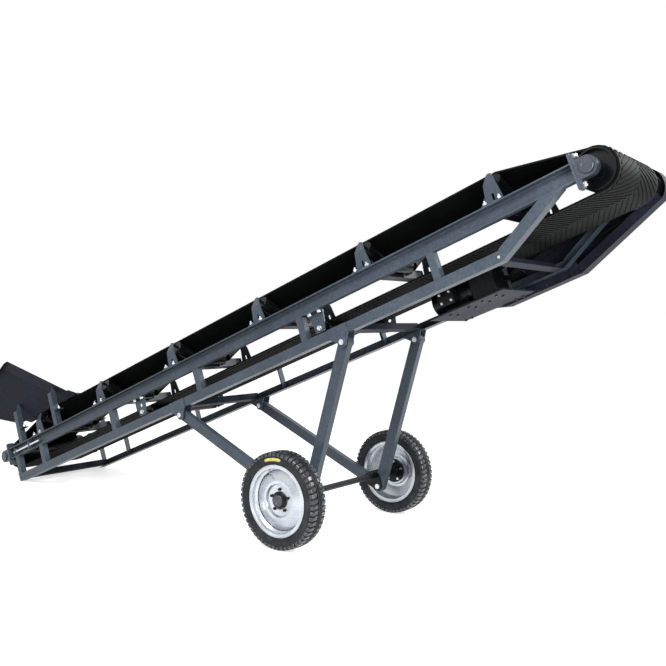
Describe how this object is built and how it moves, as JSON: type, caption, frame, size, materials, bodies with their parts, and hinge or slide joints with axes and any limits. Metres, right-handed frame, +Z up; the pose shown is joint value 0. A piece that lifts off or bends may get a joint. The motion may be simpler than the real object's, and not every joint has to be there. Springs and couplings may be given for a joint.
{
  "type": "portable belt conveyor",
  "caption": "Inclined troughed belt conveyor on a two-wheel undercarriage, with a flared loading hopper at the tail and a guarded belt drive at the head.",
  "frame": {"origin": "on the ground, in the middle of the overall box", "axes": "+X towards the raised discharge end, +Y across the belt towards the driven side, +Z up"},
  "size_m": [5.8466, 1.3932, 2.3459],
  "materials": {
    "frame_paint": "satin slate blue-grey paint",
    "black_paint": "satin black paint",
    "silver_paint": "bright silver paint",
    "zinc_plated_steel": "bright zinc plate",
    "belt_rubber": "matt black rubber with fine chevron ribs",
    "tyre_rubber": "matt black tyre rubber"
  },
  "bodies": {
    "frame": {"upper_chord_near": "frame_paint", "upper_chord_far": "frame_paint", "lower_chord_near": "frame_paint", "lower_chord_far": "frame_paint", "posts_near": "frame_paint", "posts_far": "frame_paint", "head_brace_near": "frame_paint", "head_brace_far": "frame_paint", "cross_members": "frame_paint", "gusset_plates": "frame_paint", "leg_near": "frame_paint", "leg_far": "frame_paint", "strut_near": "frame_paint", "strut_far": "frame_paint", "fork_plates_and_tie_rod": "frame_paint", "pivot_pins": "zinc_plated_steel", "stub_axles": "black_paint", "idler_frames": "frame_paint", "centre_rollers": "black_paint", "wing_rollers": "black_paint", "return_brackets": "frame_paint", "return_rollers": "black_paint", "belt": "belt_rubber", "head_drum": "black_paint", "tail_drum": "black_paint", "head_end_plates": "frame_paint", "shaft_bearings": "black_paint", "takeup_slides": "frame_paint", "takeup_screws": "zinc_plated_steel", "hopper_side_near": "frame_paint", "hopper_side_far": "frame_paint", "hopper_back": "frame_paint", "hopper_skirts": "frame_paint", "hopper_posts": "frame_paint", "geared_motor": "black_paint", "motor_cradle": "frame_paint", "sheaves": "black_paint", "drive_belts": "belt_rubber", "drive_guard": "frame_paint"},
    "near_wheel": {"tyre_near": "tyre_rubber", "rim_near": "silver_paint", "hub_near": "black_paint"},
    "far_wheel": {"tyre_far": "tyre_rubber", "rim_far": "silver_paint", "hub_far": "black_paint"}
  },
  "joints": [
    {"name": "near_wheel_spin", "type": "hinge", "parent": "frame", "child": "near_wheel", "pos_m": [0.91712, -0.633, 0.311], "axis": [0, 1, 0], "continuous": true},
    {"name": "far_wheel_spin", "type": "hinge", "parent": "frame", "child": "far_wheel", "pos_m": [0.91712, 0.633, 0.311], "axis": [0, 1, 0], "continuous": true}
  ]
}
